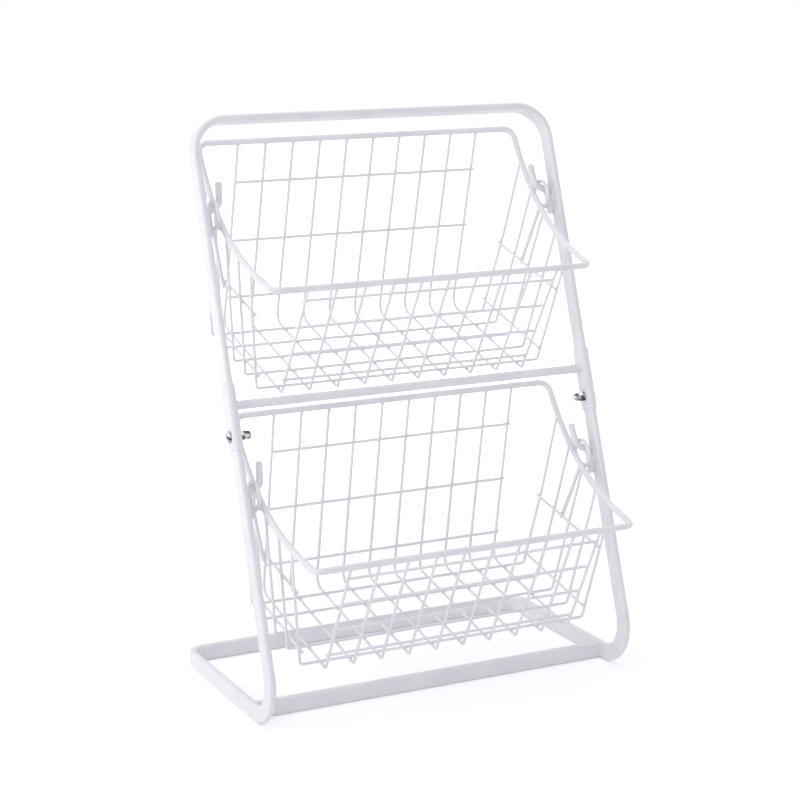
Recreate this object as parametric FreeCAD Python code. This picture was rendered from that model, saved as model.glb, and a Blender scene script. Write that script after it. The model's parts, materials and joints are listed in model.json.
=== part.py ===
import FreeCAD, Part
import math
import os

# Two-tier wire basket stand: a leaning frame of flat steel tube in two bolted halves,
# and two alike wire baskets that hang by their eyes on hooks welded inside the legs.
# Sizes are in millimetres and degrees. X runs across, Y to the back and Z up.

# Flat tube of the stand
TUBE_WIDE = 15.0
TUBE_THIN = 6.0
TUBE_CORNER = 2.0
TUBE_WALL = 1.0

# Stand: lengths up a leg are counted from where its axis meets the floor
STAND_WIDTH = 340.0
LEG_LEAN = 18.4
TOP_BAR_ABOVE_HOOK = 72.9
TOP_BEND_RADIUS = 29.0
FOOT_BEND_RADIUS = 23.5
REAR_BEND_RADIUS = 14.0
REAR_BAR_BACK = 208.0
FRONT_BAR_BACK = 51.4

# Hooks of bent rod on the inner faces of the legs
HOOK_ROD = 6.0
HOOK_LOWER_UP = 202.5
HOOK_BEHIND_AXIS = 4.0
HOOK_STEM_DROP = 24.0
HOOK_TIP_RISE = 22.0
HOOK_SLOPE = 60.0
HOOK_TIP_FLARE = 6.0
HOOK_TIP_GAP = 0.8
HOOK_BEND_RADIUS = 5.5
HOOK_TIP_ROUND = 2.0
HOOK_TIP_FLAT = 0.45
TIER_GAP = 62.5

# Expanded sockets of the upper half, which slide over the lower legs
SOCKET_ABOVE_HOOK = 32.5
SOCKET_LENGTH = 50.0
SOCKET_FLARE = 8.0
SOCKET_WALL = 1.15
SOCKET_CLEARANCE = 0.15
LEG_STOP_GAP = 3.0

# Crossbar between the sockets
CROSSBAR_ABOVE_SOCKET_END = 36.5
CROSSBAR_DIAMETER = 7.6
CROSSBAR_WALL = 1.0

# Cross bolts and their cap nuts
BOLT_ABOVE_SOCKET_END = 11.5
BOLT_DIAMETER = 5.0
BOLT_HOLE_CLEARANCE = 0.2
BOLT_THREAD_CLEARANCE = 0.05
BOLT_HEAD_DIAMETER = 10.0
BOLT_HEAD_RIM = 0.9
BOLT_HEAD_HEIGHT = 3.3
BOLT_END_GAP = 0.6
NUT_ACROSS_FLATS = 8.0
NUT_FLAT_COUNT = 6
NUT_HEX_HEIGHT = 4.0
NUT_DOME_DIAMETER = 7.4
NUT_DOME_HEIGHT = 4.6
NUT_THREAD_DEPTH = 6.4

# Basket: forward is counted from the back wall and up from the bottom
BASKET_BACK_HEIGHT = 171.5
BASKET_BOTTOM_DEPTH = 137.0
BASKET_FRONT_HEIGHT = 109.5
BASKET_FRONT_REACH = 32.8
BASKET_SIDE_PLAY = 12.7
SIDE_WALL_INSET = 17.4
SIDE_WALL_SLOPE = 7.9
UPPER_HANG_TILT = 16.1
LOWER_HANG_TILT = 11.9

# Basket rim
RIM_WIRE = 5.5
RIM_DROP_ANGLE = 44.0
RIM_DROP_STRAIGHT = 6.5
RIM_BACK_RADIUS = 9.5
RIM_FRONT_RADIUS = 8.0
RIM_FRONT_TAPER = 5.6

# Thin wires of the basket
WIRE = 2.5
WELD_GAP = 0.02
U_WIRE_COUNT = 10
U_WIRE_INSET = 19.6
U_BACK_BEND_RADIUS = 9.0
U_FRONT_BEND_RADIUS = 3.0
CROSS_WIRE_COUNT = 5
CROSS_WIRE_SETBACK = 23.0
CROSS_WIRE_END_GAP = 8.0
CROSS_BEND_RADIUS = 3.0
CROSS_EASE_ABOVE_RAIL = 12.0
CROSS_EASE_RADIUS = 60.0
BACK_RAIL_COUNT = 3
BACK_RAIL_DROP = 36.0
BACK_RAIL_PITCH = 54.0
FRONT_RAIL_COUNT = 4
FRONT_RAIL_DROP = 15.3
FRONT_RAIL_PITCH = 28.8
SIDE_RAIL_COUNT = 2
SIDE_RAIL_HEIGHT = 14.0
SIDE_RAIL_PITCH = 56.0
RAIL_OVERHANG = 1.25

# Hanger eyes outside the rim, each a ring with a tail down to the upper side rail
EYE_WIRE = 3.5
EYE_RADIUS = 11.75
EYE_ABOVE_RIM = 3.5
EYE_TAIL_WIRE = 3.5
EYE_TAIL_OVERHANG = 4.0
EYE_HOOK_GAP = 0.3

# Round sections are drawn with flats, and bends with chords this close to their arcs
WIRE_FLAT_COUNT = 6
ROD_FLAT_COUNT = 8
DOME_FLAT_COUNT = 16
DOME_LEVEL_COUNT = 4
EYE_CHORD_COUNT = 18
CHORD_SAG = 0.2

LEAN = math.radians(LEG_LEAN)
LEG_X = (STAND_WIDTH - TUBE_THIN) / 2
LEG_INNER_X = LEG_X - TUBE_THIN / 2
HOOK_UPPER_UP = HOOK_LOWER_UP + BASKET_BACK_HEIGHT + TIER_GAP
TOP_BAR_UP = HOOK_UPPER_UP + TOP_BAR_ABOVE_HOOK
SOCKET_UP = HOOK_LOWER_UP + SOCKET_ABOVE_HOOK
SOCKET_TOP = SOCKET_UP + SOCKET_LENGTH
SOCKET_GROWTH = 2 * (SOCKET_CLEARANCE + SOCKET_WALL)
SOCKET_INNER_X = LEG_X - (TUBE_THIN + SOCKET_GROWTH) / 2
SOCKET_OUTER_X = LEG_X + (TUBE_THIN + SOCKET_GROWTH) / 2
RAIL_AXIS_Z = TUBE_WIDE / 2
ROD_SPREAD = 1 / math.cos(math.pi / ROD_FLAT_COUNT)

ACROSS = FreeCAD.Vector(1, 0, 0)
BACKWARD = FreeCAD.Vector(0, 1, 0)
UPWARD = FreeCAD.Vector(0, 0, 1)
UP_LEG = FreeCAD.Vector(0, math.sin(LEAN), math.cos(LEAN))
BEHIND_LEG = FreeCAD.Vector(0, math.cos(LEAN), -math.sin(LEAN))


def on_leg(x, up, behind=0.0):
    """Point at a length up the leg axis, x across and a distance behind the axis."""
    return ACROSS * x + UP_LEG * up + BEHIND_LEG * behind


def rounded_path(points, radii):
    """Wire of straight runs through the points, with chords of an arc of each radius at the inner ones."""
    line = [points[0]]
    for before, corner, after, radius in zip(points, points[1:], points[2:], radii):
        arrive = (corner - before).normalize()
        leave = (after - corner).normalize()
        turn = arrive.getAngle(leave)
        inward = (leave - arrive).normalize()
        arc_centre = corner + inward * (radius / math.cos(turn / 2))
        arc_start = corner - arrive * (radius * math.tan(turn / 2))
        spoke = arc_start - arc_centre
        chords = math.ceil(turn / (2 * math.acos(1 - min(CHORD_SAG / radius, 0.5))))
        for index in range(chords + 1):
            angle = turn * index / chords
            line.append(arc_centre + spoke * math.cos(angle) + arrive * (radius * math.sin(angle)))
    return Part.makePolygon(line + points[-1:])


def across_mirror(point):
    """The point's partner on the other side of the middle plane."""
    return FreeCAD.Vector(-point.x, point.y, point.z)


def mirrored(shape):
    """Copy of the shape on the other side of the middle plane."""
    return shape.mirror(FreeCAD.Vector(0, 0, 0), ACROSS)


def flat_section(centre, thin_way, wide_way, thin, wide, corner):
    """Rectangle wire about the centre, with each corner eased by two chords where a radius is given."""
    points = []
    inset = corner * (1 - math.sqrt(0.5))
    for a, b, wide_first in [(1, 1, True), (-1, 1, False), (-1, -1, True), (1, -1, False)]:
        eases = [(0, corner), (inset, inset), (corner, 0)] if corner > 0 else [(0, 0)]
        for off_thin, off_wide in eases if wide_first else reversed(eases):
            along_thin = thin_way * (a * (thin / 2 - off_thin))
            points.append(centre + along_thin + wide_way * (b * (wide / 2 - off_wide)))
    return Part.makePolygon(points + points[:1])


def wire_section(centre, facing, sideways, across_flats, flats):
    """Regular polygon wire with one flat square to the facing direction."""
    radius = across_flats / 2 / math.cos(math.pi / flats)
    points = []
    for index in range(flats + 1):
        angle = (index + 0.5) * 2 * math.pi / flats
        points.append(centre + facing * (radius * math.cos(angle)) + sideways * (radius * math.sin(angle)))
    return Part.makePolygon(points)


def sweep(path, section):
    """Solid of the section carried along the path, mitred where the path turns."""
    return path.makePipeShell([section], True, False, 1)


def stacked(sections):
    """Solid through polygons of as many corners each, with flat sides from one to the next."""
    faces = [Part.Face(sections[0]), Part.Face(sections[-1])]
    rings = [[vertex.Point for vertex in section.OrderedVertexes] for section in sections]
    for low, high in zip(rings, rings[1:]):
        for index in range(len(low)):
            side = [low[index - 1], low[index], high[index], high[index - 1]]
            faces.append(Part.Face(Part.makePolygon(side + side[:1])))
    return Part.makeSolid(Part.makeShell(faces))


def straight_wire(start, end, facing, across_flats, flats):
    """Prism of a straight wire from start to end."""
    run = end - start
    sideways = run.cross(facing).normalize()
    upright = sideways.cross(run).normalize()
    return Part.Face(wire_section(start, upright, sideways, across_flats, flats)).extrude(run)


def bolt_axis_point(x):
    """Point on the cross bolts' axis."""
    return on_leg(x, SOCKET_UP + BOLT_ABOVE_SOCKET_END)


def bolt_hole(side):
    """Cutter for the cross bolt's hole through one leg and its socket."""
    reach = SOCKET_OUTER_X - SOCKET_INNER_X + 2 * TUBE_THIN
    start = bolt_axis_point(side * (SOCKET_INNER_X - TUBE_THIN))
    return Part.makeCylinder(BOLT_DIAMETER / 2 + BOLT_HOLE_CLEARANCE, reach, start, ACROSS * side)


def hollow_tube(points, radii, thin_way, wide_way):
    """Flat tube swept along the points, with its bore open at both ends."""
    path = rounded_path(points, radii)
    bore_thin = TUBE_THIN - 2 * TUBE_WALL
    bore_wide = TUBE_WIDE - 2 * TUBE_WALL
    outside = sweep(path, flat_section(points[0], thin_way, wide_way, TUBE_THIN, TUBE_WIDE, TUBE_CORNER))
    bore = sweep(path, flat_section(points[0], thin_way, wide_way, bore_thin, bore_wide, 0))
    return outside.cut(bore)


def lower_frame_tube():
    """One bent tube: leg, foot bend, rail, rear bar, rail, foot bend and leg."""
    half = [
        on_leg(-LEG_X, SOCKET_TOP - LEG_STOP_GAP),
        FreeCAD.Vector(-LEG_X, RAIL_AXIS_Z * math.tan(LEAN), RAIL_AXIS_Z),
        FreeCAD.Vector(-LEG_X, REAR_BAR_BACK, RAIL_AXIS_Z),
    ]
    points = half + [across_mirror(point) for point in reversed(half)]
    radii = [FOOT_BEND_RADIUS, REAR_BEND_RADIUS, REAR_BEND_RADIUS, FOOT_BEND_RADIUS]
    tube = hollow_tube(points, radii, ACROSS, BEHIND_LEG)
    return tube.cut(bolt_hole(-1)).cut(bolt_hole(1))


def base_front_bar():
    """Straight tube welded between the rails behind the foot bends."""
    start = FreeCAD.Vector(-LEG_INNER_X, FRONT_BAR_BACK, RAIL_AXIS_Z)
    return hollow_tube([start, across_mirror(start)], [], BACKWARD, UPWARD)


def socket(side):
    """Expanded leg end with its flare up to the plain tube, and the cutter of its inside."""
    def section(up, growth, corner):
        centre = on_leg(side * LEG_X, up)
        return flat_section(centre, ACROSS, BEHIND_LEG, TUBE_THIN + growth, TUBE_WIDE + growth, corner)

    wide = section(SOCKET_TOP, SOCKET_GROWTH, TUBE_CORNER + SOCKET_GROWTH / 2)
    plain = section(SOCKET_TOP + SOCKET_FLARE, 0, TUBE_CORNER)
    flare = stacked([wide, plain])
    outside = Part.Face(wide).extrude(UP_LEG * -SOCKET_LENGTH)
    mouth = section(SOCKET_UP, 2 * SOCKET_CLEARANCE, TUBE_CORNER + SOCKET_CLEARANCE)
    bore = Part.Face(mouth).extrude(UP_LEG * SOCKET_LENGTH)
    throat = Part.Face(section(SOCKET_TOP, -2 * TUBE_WALL, 0)).extrude(UP_LEG * SOCKET_FLARE)
    return outside.fuse(flare), bore.fuse(throat)


def upper_frame_tube():
    """Inverted U of tube with radiused top corners and a socket at each lower end."""
    half = [on_leg(-LEG_X, SOCKET_TOP + SOCKET_FLARE), on_leg(-LEG_X, TOP_BAR_UP)]
    points = half + [across_mirror(point) for point in reversed(half)]
    frame = hollow_tube(points, [TOP_BEND_RADIUS, TOP_BEND_RADIUS], ACROSS, BEHIND_LEG)
    for side in (-1, 1):
        outside, inside = socket(side)
        frame = frame.fuse(outside.cut(inside)).cut(bolt_hole(side))
    return frame.removeSplitter()


def crossbar():
    """Round tube welded between the inner faces of the two sockets."""
    start = on_leg(-SOCKET_INNER_X, SOCKET_UP + CROSSBAR_ABOVE_SOCKET_END)
    length = 2 * SOCKET_INNER_X
    tube = Part.makeCylinder(CROSSBAR_DIAMETER / 2, length, start, ACROSS)
    return tube.cut(Part.makeCylinder(CROSSBAR_DIAMETER / 2 - CROSSBAR_WALL, length, start, ACROSS))


def dome(radius, foot, rise, centre, axis):
    """Cap on the axis: a straight wall of the foot's height, then a rounded crown."""
    sphere = (radius ** 2 + rise ** 2) / (2 * rise)
    crown_angle = 2 * math.atan2(rise, radius)
    levels = [(radius, 0.0)]
    for index in range(DOME_LEVEL_COUNT):
        angle = crown_angle * (1 - index / (DOME_LEVEL_COUNT - 0.5))
        levels.append((sphere * math.sin(angle), foot + rise - sphere * (1 - math.cos(angle))))
    levels.append((levels[-1][0] / 2, foot + rise))
    sections = []
    for reach, height in levels:
        sections.append(wire_section(centre + axis * height, UP_LEG, BEHIND_LEG, 2 * reach, DOME_FLAT_COUNT))
    return stacked(sections)


def joint_bolt(side):
    """Domed bolt whose head seats on the outer face of a socket."""
    seat = bolt_axis_point(side * SOCKET_OUTER_X)
    head = dome(BOLT_HEAD_DIAMETER / 2, BOLT_HEAD_RIM, BOLT_HEAD_HEIGHT - BOLT_HEAD_RIM, seat, ACROSS * side)
    grip = SOCKET_OUTER_X - SOCKET_INNER_X + NUT_THREAD_DEPTH - BOLT_END_GAP
    return head.fuse(Part.makeCylinder(BOLT_DIAMETER / 2, grip, seat, ACROSS * -side))


def cap_nut(side):
    """Hexagon nut with a closed dome, seated on the inner face of a socket."""
    seat = bolt_axis_point(side * SOCKET_INNER_X)
    inward = ACROSS * -side
    outline = wire_section(seat, UP_LEG, BEHIND_LEG, NUT_ACROSS_FLATS, NUT_FLAT_COUNT)
    hexagon = Part.Face(outline).extrude(inward * NUT_HEX_HEIGHT)
    cap = dome(NUT_DOME_DIAMETER / 2, NUT_HEX_HEIGHT, NUT_DOME_HEIGHT, seat, inward)
    thread = Part.makeCylinder(BOLT_DIAMETER / 2 + BOLT_THREAD_CLEARANCE, NUT_THREAD_DEPTH, seat, inward)
    return hexagon.fuse(cap).cut(thread).removeSplitter()


# Basket, in a frame of its own: the back wall is at Y zero and the bottom wires' axis at Z zero
RIM_HALF = LEG_INNER_X - BASKET_SIDE_PLAY
RIM_FRONT_HALF = RIM_HALF - RIM_FRONT_TAPER
RIM_FRONT_FORWARD = BASKET_BOTTOM_DEPTH + BASKET_FRONT_REACH
RIM_DROP = math.radians(RIM_DROP_ANGLE)
RIM_KNEE_FORWARD = (BASKET_BACK_HEIGHT - BASKET_FRONT_HEIGHT) / math.tan(RIM_DROP)
RIM_SLANT_LENGTH = (BASKET_BACK_HEIGHT - BASKET_FRONT_HEIGHT) / math.sin(RIM_DROP)
RIM_LEVEL_LENGTH = RIM_FRONT_FORWARD - RIM_KNEE_FORWARD
RIM_SWEEP_ROOM = min(RIM_SLANT_LENGTH - RIM_BACK_RADIUS, RIM_LEVEL_LENGTH - RIM_FRONT_RADIUS)
RIM_SWEEP_RADIUS = (RIM_SWEEP_ROOM - RIM_DROP_STRAIGHT) / math.tan(RIM_DROP / 2)
CROSS_WIRE_SPAN = BASKET_BOTTOM_DEPTH - CROSS_WIRE_SETBACK - CROSS_WIRE_END_GAP
CROSS_WIRE_PITCH = CROSS_WIRE_SPAN / (CROSS_WIRE_COUNT - 1)
BOTTOM_HALF = RIM_HALF - SIDE_WALL_INSET
LAYER = WIRE + WELD_GAP
U_WIRE_LAST_X = BOTTOM_HALF - U_WIRE_INSET
U_WIRE_PITCH = 2 * U_WIRE_LAST_X / (U_WIRE_COUNT - 1)
FRONT_WALL_LENGTH = math.hypot(BASKET_FRONT_REACH, BASKET_FRONT_HEIGHT)
FRONT_WALL_FORWARD = BASKET_FRONT_REACH / FRONT_WALL_LENGTH
FRONT_WALL_UP = BASKET_FRONT_HEIGHT / FRONT_WALL_LENGTH
SIDE_RAIL_TOP = SIDE_RAIL_HEIGHT + (SIDE_RAIL_COUNT - 1) * SIDE_RAIL_PITCH
SIDE_SLOPE = math.radians(SIDE_WALL_SLOPE)
SIDE_INWARD = FreeCAD.Vector(-math.cos(SIDE_SLOPE), 0, math.sin(SIDE_SLOPE))


def at_basket(x, forward, up):
    """Point in the basket's own frame."""
    return FreeCAD.Vector(x, -forward, up)


def at_side_wall(forward, up):
    """Point in the right-hand side wall, on the axes of the cross wires."""
    return at_basket(BOTTOM_HALF + math.tan(SIDE_SLOPE) * (up - LAYER), forward, up)


def rim_half_path():
    """Right half of the rim's axis, from the middle of the back to the middle of the front."""
    points = [
        at_basket(0, 0, BASKET_BACK_HEIGHT),
        at_basket(RIM_HALF, 0, BASKET_BACK_HEIGHT),
        at_basket(RIM_HALF, RIM_KNEE_FORWARD, BASKET_FRONT_HEIGHT),
        at_basket(RIM_FRONT_HALF, RIM_FRONT_FORWARD, BASKET_FRONT_HEIGHT),
        at_basket(0, RIM_FRONT_FORWARD, BASKET_FRONT_HEIGHT),
    ]
    return rounded_path(points, [RIM_BACK_RADIUS, RIM_SWEEP_RADIUS, RIM_FRONT_RADIUS])


def rim_point(forward):
    """Point on the axis of the rim's right-hand side at a distance forward of the back wall."""
    high = 2 * BASKET_BACK_HEIGHT
    corners = [(0, 0), (STAND_WIDTH, 0), (STAND_WIDTH, high), (0, high), (0, 0)]
    slice_face = Part.Face(Part.makePolygon([at_basket(x, forward, up) for x, up in corners]))
    return rim_half_path().distToShape(slice_face)[1][0][0]


def rim():
    """Closed loop of thick wire: straight back and front bars, and sides that sweep down and forward."""
    start = at_basket(0, 0, BASKET_BACK_HEIGHT)
    half = sweep(rim_half_path(), wire_section(start, UPWARD, BACKWARD, RIM_WIRE, ROD_FLAT_COUNT))
    return half.fuse(mirrored(half)).removeSplitter()


def front_wall(down, inward):
    """Forward and up of a point down the front wall from the rim's axis and in from the wires' axes."""
    forward = RIM_FRONT_FORWARD - FRONT_WALL_FORWARD * down - FRONT_WALL_UP * inward
    return forward, BASKET_FRONT_HEIGHT - FRONT_WALL_UP * down + FRONT_WALL_FORWARD * inward


def u_wire(index, rim_solid):
    """Wire from the back rim down the back, under the bottom and up the front to the front rim."""
    x = index * U_WIRE_PITCH - U_WIRE_LAST_X
    points = [
        at_basket(x, 0, BASKET_BACK_HEIGHT),
        at_basket(x, 0, 0),
        at_basket(x, BASKET_BOTTOM_DEPTH, 0),
        at_basket(x, RIM_FRONT_FORWARD, BASKET_FRONT_HEIGHT),
    ]
    path = rounded_path(points, [U_BACK_BEND_RADIUS, U_FRONT_BEND_RADIUS])
    section = wire_section(points[0], BACKWARD, ACROSS, WIRE, WIRE_FLAT_COUNT)
    return sweep(path, section).cut(rim_solid).Solids[0]


def cross_forward(index):
    """Distance of a cross wire forward of the back wall."""
    return CROSS_WIRE_SETBACK + index * CROSS_WIRE_PITCH


def cross_wire(index, rim_solid):
    """Wire from the rim's one side down the side wall, over the bottom wires and up the other side."""
    forward = cross_forward(index)
    half = [
        rim_point(forward),
        at_side_wall(forward, SIDE_RAIL_TOP + CROSS_EASE_ABOVE_RAIL),
        at_side_wall(forward, LAYER),
    ]
    points = half + [across_mirror(point) for point in reversed(half)]
    radii = [CROSS_EASE_RADIUS, CROSS_BEND_RADIUS, CROSS_BEND_RADIUS, CROSS_EASE_RADIUS]
    facing = (points[1] - points[0]).cross(BACKWARD).normalize()
    section = wire_section(points[0], facing, BACKWARD, WIRE, WIRE_FLAT_COUNT)
    return sweep(rounded_path(points, radii), section).cut(rim_solid).Solids[0]


def back_rails():
    """Straight wires across the inside of the back wall."""
    reach = U_WIRE_LAST_X + RAIL_OVERHANG
    rails = []
    for index in range(BACK_RAIL_COUNT):
        start = at_basket(-reach, LAYER, BASKET_BACK_HEIGHT - BACK_RAIL_DROP - index * BACK_RAIL_PITCH)
        rails.append(straight_wire(start, across_mirror(start), BACKWARD, WIRE, WIRE_FLAT_COUNT))
    return rails


def front_rails():
    """Straight wires across the inside of the front wall."""
    reach = U_WIRE_LAST_X + RAIL_OVERHANG
    inward = FreeCAD.Vector(0, FRONT_WALL_UP, FRONT_WALL_FORWARD)
    rails = []
    for index in range(FRONT_RAIL_COUNT):
        start = at_basket(-reach, *front_wall(FRONT_RAIL_DROP + index * FRONT_RAIL_PITCH, LAYER))
        rails.append(straight_wire(start, across_mirror(start), inward, WIRE, WIRE_FLAT_COUNT))
    return rails


def side_rails():
    """Straight wires along the inside of the right-hand side wall."""
    first = cross_forward(0) - RAIL_OVERHANG
    last = cross_forward(CROSS_WIRE_COUNT - 1) + RAIL_OVERHANG
    rails = []
    for index in range(SIDE_RAIL_COUNT):
        height = SIDE_RAIL_HEIGHT + index * SIDE_RAIL_PITCH
        ends = [at_side_wall(forward, height) + SIDE_INWARD * LAYER for forward in (first, last)]
        rails.append(straight_wire(ends[0], ends[1], SIDE_INWARD, WIRE, WIRE_FLAT_COUNT))
    return rails


def eye_point(forward):
    """Centre of the right-hand eye at a distance forward of the back wall."""
    side = rim_point(forward - EYE_RADIUS).x + (RIM_WIRE + EYE_WIRE) / 2 * ROD_SPREAD + WELD_GAP
    return at_basket(side, forward, rim_point(forward).z + EYE_ABOVE_RIM)


def eye(centre):
    """Right-hand hanger eye: a ring outside the rim, its tail welded to the upper side rail."""
    half = []
    for index in range(EYE_CHORD_COUNT // 2 + 1):
        spoke = EYE_RADIUS / math.cos(math.pi / EYE_CHORD_COUNT)
        angle = 2 * math.pi * index / EYE_CHORD_COUNT
        half.append(centre + UPWARD * (spoke * math.cos(angle)) - BACKWARD * (spoke * math.sin(angle)))
    bow = sweep(Part.makePolygon(half), wire_section(half[0], UPWARD, ACROSS, EYE_WIRE, ROD_FLAT_COUNT))
    back_bow = bow.copy()
    back_bow.rotate(centre, ACROSS, 180)
    ring = bow.fuse(back_bow)
    between_wires = CROSS_WIRE_SETBACK + 1.5 * CROSS_WIRE_PITCH
    lift = (WIRE + EYE_TAIL_WIRE * ROD_SPREAD) / 2 + WELD_GAP
    foot = at_side_wall(between_wires, SIDE_RAIL_TOP) + SIDE_INWARD * (LAYER - lift)
    towards = FreeCAD.Vector(0, foot.y - centre.y, foot.z - centre.z).normalize()
    start = centre + towards * EYE_RADIUS
    end = foot + (foot - start).normalize() * EYE_TAIL_OVERHANG
    return ring.fuse(straight_wire(start, end, ACROSS, EYE_TAIL_WIRE, ROD_FLAT_COUNT)).removeSplitter()


def mass_centre(shapes):
    """Centre of mass of all the solids together."""
    solids = [solid for shape in shapes for solid in shape.Solids]
    weight = sum(solid.Volume for solid in solids)
    moment = FreeCAD.Vector(0, 0, 0)
    for solid in solids:
        moment += solid.CenterOfMass * solid.Volume
    return moment / weight


def basket_nodes():
    """Every piece of one basket by name, apart from its eyes."""
    loop = rim()
    nodes = {"rim": loop}
    for index in range(U_WIRE_COUNT):
        nodes[f"u_wire_{index + 1:02d}"] = u_wire(index, loop)
    for index in range(CROSS_WIRE_COUNT):
        nodes[f"cross_wire_{index + 1}"] = cross_wire(index, loop)
    nodes["back_rails"] = Part.makeCompound(back_rails())
    nodes["front_rails"] = Part.makeCompound(front_rails())
    nodes["side_rails_right"] = Part.makeCompound(side_rails())
    nodes["side_rails_left"] = Part.makeCompound([mirrored(rail) for rail in side_rails()])
    return nodes


def balanced_eye(nodes, tilt):
    """Centre of the right-hand eye from which a basket of these pieces hangs in balance at the tilt."""
    centre = eye_point(BASKET_BOTTOM_DEPTH / 2)
    for turn in range(4):
        balance = mass_centre(list(nodes.values()) + [eye(centre), mirrored(eye(centre))])
        centre = eye_point(-balance.y - math.tan(math.radians(tilt)) * (centre.z - balance.z))
    return centre


def hook_line(eye_x):
    """Corners of a right-hand hook's axis, as x across and rise from the middle of its shoulder."""
    stem_x = LEG_INNER_X - HOOK_ROD / 2
    tip_x = eye_x - (EYE_WIRE + HOOK_ROD) / 2 * ROD_SPREAD - HOOK_TIP_GAP
    shoulder = (stem_x - tip_x) / math.tan(math.radians(HOOK_SLOPE)) / 2
    tip_rise = HOOK_TIP_RISE - HOOK_TIP_ROUND
    flare = (tip_rise - shoulder) * math.tan(math.radians(HOOK_TIP_FLARE))
    return [(stem_x, -HOOK_STEM_DROP), (stem_x, -shoulder), (tip_x, shoulder), (tip_x - flare, tip_rise)]


def hook(up, side, eye_x):
    """Rod welded up the leg's inner face, bent inward to a shoulder and up again to a rounded tip."""
    points = [on_leg(side * x, up + rise, HOOK_BEHIND_AXIS) for x, rise in hook_line(eye_x)]
    path = rounded_path(points, [HOOK_BEND_RADIUS, HOOK_BEND_RADIUS])
    rod = sweep(path, wire_section(points[0], ACROSS, BEHIND_LEG, HOOK_ROD, ROD_FLAT_COUNT))
    tipward = (points[3] - points[2]).normalize()
    facing = tipward.cross(BEHIND_LEG).normalize()
    top = points[3] + tipward * HOOK_TIP_ROUND
    foot = wire_section(points[3], facing, BEHIND_LEG, HOOK_ROD, ROD_FLAT_COUNT)
    crown = wire_section(top, facing, BEHIND_LEG, HOOK_ROD * HOOK_TIP_FLAT, ROD_FLAT_COUNT)
    return rod.fuse(stacked([foot, crown])).removeSplitter()


def hung_centre(up, eye_x):
    """Point midway between two eyes that hang on the pair of hooks at this length up the legs."""
    shoulder_start, shoulder_end = hook_line(eye_x)[1:3]
    share = (shoulder_start[0] - eye_x) / (shoulder_start[0] - shoulder_end[0])
    rise = shoulder_start[1] + share * (shoulder_end[1] - shoulder_start[1])
    along = math.cos(LEAN) * math.cos(math.radians(HOOK_SLOPE))
    apart = (HOOK_ROD + EYE_WIRE) / 2 * ROD_SPREAD + EYE_HOOK_GAP
    lift = apart / math.sqrt(1 - along ** 2)
    return on_leg(0, up + rise, HOOK_BEHIND_AXIS) + UPWARD * (lift - EYE_RADIUS)


def main():
    """Build every piece, set the origin under the middle of the whole and write one file a piece."""
    nodes = {
        "lower_frame_tube": lower_frame_tube(),
        "base_front_bar": base_front_bar(),
        "upper_frame_tube": upper_frame_tube(),
        "crossbar": crossbar(),
        "joint_bolts": Part.makeCompound([joint_bolt(-1), joint_bolt(1)]),
        "cap_nuts": Part.makeCompound([cap_nut(-1), cap_nut(1)]),
    }
    basket = basket_nodes()
    pivots = {}
    eyes = {}
    tiers = (("upper", HOOK_UPPER_UP, UPPER_HANG_TILT), ("lower", HOOK_LOWER_UP, LOWER_HANG_TILT))
    for tier, up, tilt in tiers:
        centre = balanced_eye(basket, tilt)
        eyes[tier] = centre
        nodes[f"hook_{tier}_left"] = hook(up, -1, centre.x)
        nodes[f"hook_{tier}_right"] = hook(up, 1, centre.x)
        pivots[tier] = hung_centre(up, centre.x)
        hooked = {"eye_right": eye(centre), "eye_left": mirrored(eye(centre))}
        for name, shape in {**basket, **hooked}.items():
            hung = shape.copy()
            hung.translate(FreeCAD.Vector(0, -centre.y, -centre.z))
            hung.rotate(FreeCAD.Vector(0, 0, 0), ACROSS, tilt)
            hung.translate(pivots[tier])
            nodes[f"{tier}_{name}"] = hung
    box = Part.makeCompound(list(nodes.values())).optimalBoundingBox(False, False)
    shift = FreeCAD.Vector(-box.Center.x, -box.Center.y, -box.ZMin)
    os.makedirs("parts", exist_ok=True)
    for name, shape in nodes.items():
        shape.translate(shift)
        shape.exportStep(f"parts/{name}.step")
    print(f"{len(nodes)} nodes, {box.XLength:.2f} x {box.YLength:.2f} x {box.ZLength:.2f} mm")
    for tier, centre in eyes.items():
        print(f"{tier} eyes {-centre.y:.3f} forward, {centre.z:.3f} up, {centre.x:.3f} across")
    print(f"whole moved {shift.y:.3f} in Y")
    for tier, pivot in pivots.items():
        print(f"{tier} basket swings about Y {pivot.y + shift.y:.3f}, Z {pivot.z + shift.z:.3f}")


main()
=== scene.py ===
"""Looks of a two-tier wire basket stand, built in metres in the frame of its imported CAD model."""

import json
import logging
import math
from dataclasses import dataclass
from enum import Enum
from typing import Callable, Sequence

import bmesh
import bpy
from mathutils import Matrix, Quaternion, Vector

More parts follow.
